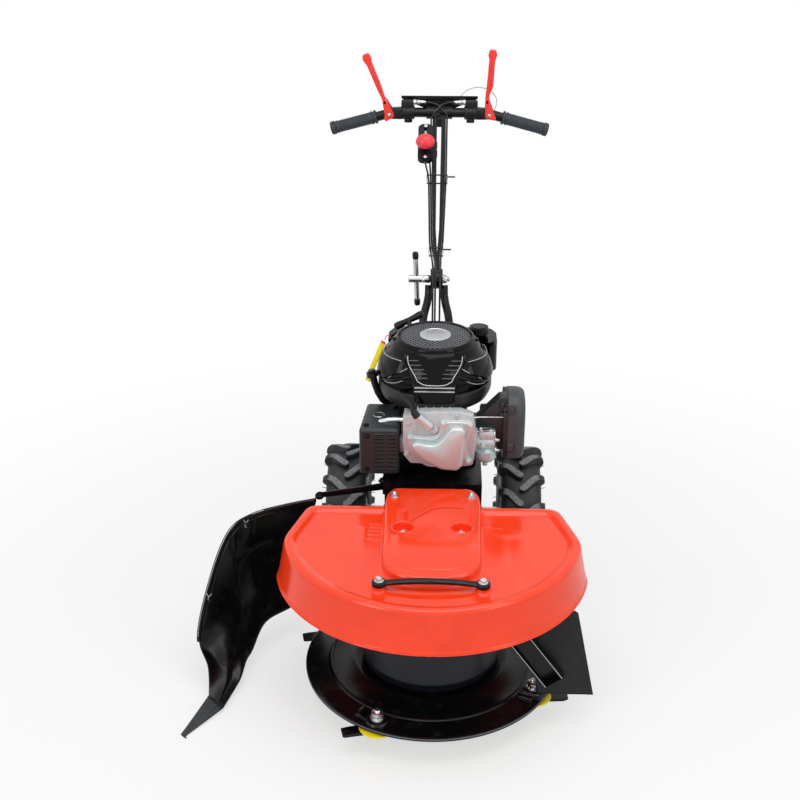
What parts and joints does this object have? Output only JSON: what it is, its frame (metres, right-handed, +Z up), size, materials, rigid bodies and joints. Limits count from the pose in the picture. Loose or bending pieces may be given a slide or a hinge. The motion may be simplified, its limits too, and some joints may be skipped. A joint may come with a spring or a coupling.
{
  "type": "brush mower",
  "caption": "Walk-behind single-drum brush mower: vertical-shaft engine on driven lug-tyre wheels, drum with swinging knives under a pressed deck, swath board and tilting handlebar.",
  "frame": {"origin": "on the ground under the axis of the mowing drum, at the flat centre of the skid dish", "axes": "+X to the right for someone standing in front of the machine and looking at it, +Y from the mowing drum back to the handlebar, +Z up"},
  "size_m": [0.832, 1.4362, 1.1171],
  "materials": {
    "black_paint": "gloss enamel",
    "red_paint": "gloss enamel",
    "yellow_paint": "gloss enamel",
    "zinc_steel": "bright zinc",
    "dark_steel": "matt, heat resistant",
    "cast_aluminium": "as cast, blasted",
    "bright_aluminium": "die cast, satin",
    "black_plastic": "moulded, fine grain",
    "grey_plastic": "moulded, fine grain",
    "red_plastic": "moulded",
    "grip_rubber": "ribbed, matt",
    "black_rubber": "matt",
    "tyre_rubber": "moulded, matt"
  },
  "bodies": {
    "chassis": {"main_frame": "black_paint", "spindle_housing": "cast_aluminium", "spindle_bearings": "zinc_steel", "deck_cover": "red_paint", "deck_bolts": "zinc_steel", "lift_handle": "black_plastic", "swath_board": "black_paint", "swath_board_arm": "black_paint", "flap_arm": "black_paint", "rubber_flap": "black_rubber", "gearbox": "cast_aluminium", "drive_belts": "black_rubber", "engine_block": "cast_aluminium", "engine_cylinder": "cast_aluminium", "valve_cover": "bright_aluminium", "blower_housing": "black_plastic", "starter_cover": "black_plastic", "fuel_tank": "black_plastic", "muffler": "dark_steel", "muffler_guard": "dark_steel", "carburettor": "bright_aluminium", "air_cleaner_base": "black_plastic", "air_cleaner_cover": "grey_plastic", "spark_plug": "black_rubber", "handlebar_fork": "black_paint", "lower_cables": "black_rubber"},
    "drum": {"spindle_shaft": "zinc_steel", "drum_pulley": "dark_steel", "drum": "black_paint", "cutter_disc": "black_paint", "knife_carrier": "yellow_paint", "knife_bolts": "zinc_steel"},
    "knife_1": {"knife_1": "black_paint"},
    "knife_2": {"knife_2": "black_paint"},
    "knife_3": {"knife_3": "black_paint"},
    "knife_4": {"knife_4": "black_paint"},
    "skid": {"skid_dish": "dark_steel"},
    "crankshaft": {"crankshaft": "zinc_steel", "crank_pulley": "dark_steel"},
    "gearbox_input": {"gearbox_pulley": "dark_steel"},
    "axle": {"axle": "zinc_steel"},
    "left_wheel": {"left_rim": "black_paint", "left_tyre": "tyre_rubber"},
    "right_wheel": {"right_rim": "black_paint", "right_tyre": "tyre_rubber"},
    "drum_idler": {"drum_idler": "zinc_steel"},
    "wheel_idler": {"wheel_idler": "zinc_steel"},
    "handlebar": {"column": "black_paint", "handlebar_tube": "black_paint", "grips": "grip_rubber", "lever_brackets": "black_paint", "throttle_housing": "black_plastic", "upper_cables": "black_rubber"},
    "left_lever": {"left_lever": "red_plastic"},
    "right_lever": {"right_lever": "red_plastic"},
    "throttle_lever": {"throttle_lever": "red_plastic"},
    "clamp_screw": {"clamp_screw": "zinc_steel"},
    "fuel_cap": {"fuel_cap": "black_plastic"},
    "dipstick": {"dipstick": "black_plastic"},
    "starter_grip": {"starter_grip": "black_plastic"}
  },
  "joints": [
    {"name": "drum_spin", "type": "hinge", "parent": "chassis", "child": "drum", "pos_m": [0, 0, 0], "axis": [0, 0, 1], "continuous": true},
    {"name": "knife_1_swing", "type": "hinge", "parent": "drum", "child": "knife_1", "pos_m": [-0.10214, -0.20942, 0.05], "axis": [0, 0, 1], "continuous": true},
    {"name": "knife_2_swing", "type": "hinge", "parent": "drum", "child": "knife_2", "pos_m": [0.20942, -0.10214, 0.05], "axis": [0, 0, 1], "continuous": true},
    {"name": "knife_3_swing", "type": "hinge", "parent": "drum", "child": "knife_3", "pos_m": [0.10214, 0.20942, 0.05], "axis": [0, 0, 1], "continuous": true},
    {"name": "knife_4_swing", "type": "hinge", "parent": "drum", "child": "knife_4", "pos_m": [-0.20942, 0.10214, 0.05], "axis": [0, 0, 1], "continuous": true},
    {"name": "skid_spin", "type": "hinge", "parent": "drum", "child": "skid", "pos_m": [0, 0, 0.02], "axis": [0, 0, 1], "continuous": true},
    {"name": "crank_spin", "type": "hinge", "parent": "chassis", "child": "crankshaft", "pos_m": [0, 0.38, 0.4], "axis": [0, 0, 1], "continuous": true},
    {"name": "gearbox_input_spin", "type": "hinge", "parent": "chassis", "child": "gearbox_input", "pos_m": [0, 0.496, 0.3], "axis": [0, 0, 1], "continuous": true},
    {"name": "axle_spin", "type": "hinge", "parent": "chassis", "child": "axle", "pos_m": [0, 0.456, 0.16], "axis": [1, 0, 0], "continuous": true},
    {"name": "left_wheel_spin", "type": "hinge", "parent": "axle", "child": "left_wheel", "pos_m": [-0.202, 0.456, 0.16], "axis": [1, 0, 0], "continuous": true},
    {"name": "right_wheel_spin", "type": "hinge", "parent": "axle", "child": "right_wheel", "pos_m": [0.202, 0.456, 0.16], "axis": [1, 0, 0], "continuous": true},
    {"name": "drum_idler_swing", "type": "hinge", "parent": "chassis", "child": "drum_idler", "pos_m": [0.03, 0.15, 0.338], "axis": [0, 0, 1], "range_deg": [-8, 0]},
    {"name": "wheel_idler_swing", "type": "hinge", "parent": "chassis", "child": "wheel_idler", "pos_m": [-0.072, 0.52, 0.322], "axis": [0, 0, 1], "range_deg": [0, 6.2]},
    {"name": "handlebar_tilt", "type": "hinge", "parent": "chassis", "child": "handlebar", "pos_m": [0, 0.66, 0.676], "axis": [1, 0, 0], "range_deg": [-12, 24], "deforming": ["lower_cables"]},
    {"name": "left_lever_pull", "type": "hinge", "parent": "handlebar", "child": "left_lever", "pos_m": [-0.13, 1.14961, 0.95896], "axis": [0, 1, 0], "range_deg": [-46, 0], "stiffness_Nm_per_rad": 2, "springref_deg": 20.05},
    {"name": "right_lever_pull", "type": "hinge", "parent": "handlebar", "child": "right_lever", "pos_m": [0.13, 1.14961, 0.95896], "axis": [0, 1, 0], "range_deg": [0, 66], "stiffness_Nm_per_rad": 2, "springref_deg": -20.05},
    {"name": "throttle_swing", "type": "hinge", "parent": "handlebar", "child": "throttle_lever", "pos_m": [-0.034, 1.01412, 0.90756], "axis": [1, 0, 0], "range_deg": [-60, 0]},
    {"name": "clamp_screw_turn", "type": "hinge", "parent": "chassis", "child": "clamp_screw", "pos_m": [0, 0.66, 0.676], "axis": [1, 0, 0], "continuous": true},
    {"name": "fuel_cap_turn", "type": "hinge", "parent": "chassis", "child": "fuel_cap", "pos_m": [0.097, 0.457, 0.622], "axis": [0, 0, 1], "continuous": true},
    {"name": "dipstick_turn", "type": "hinge", "parent": "chassis", "child": "dipstick", "pos_m": [-0.137, 0.362, 0.556], "axis": [-0.2423, 0.0485, 0.969], "continuous": true},
    {"name": "starter_pull", "type": "slide", "parent": "chassis", "child": "starter_grip", "axis": [-0.1003, 0.7519, 0.6516], "range_m": [0, 0.45], "stiffness_N_per_m": 20, "springref_m": -0.25}
  ],
  "couplings": [
    {"joint": "drum_idler_swing", "follows": "right_lever_pull", "ratio": -0.12},
    {"joint": "wheel_idler_swing", "follows": "left_lever_pull", "ratio": -0.134},
    {"joint": "axle_spin", "follows": "gearbox_input_spin", "ratio": 0.022222}
  ]
}
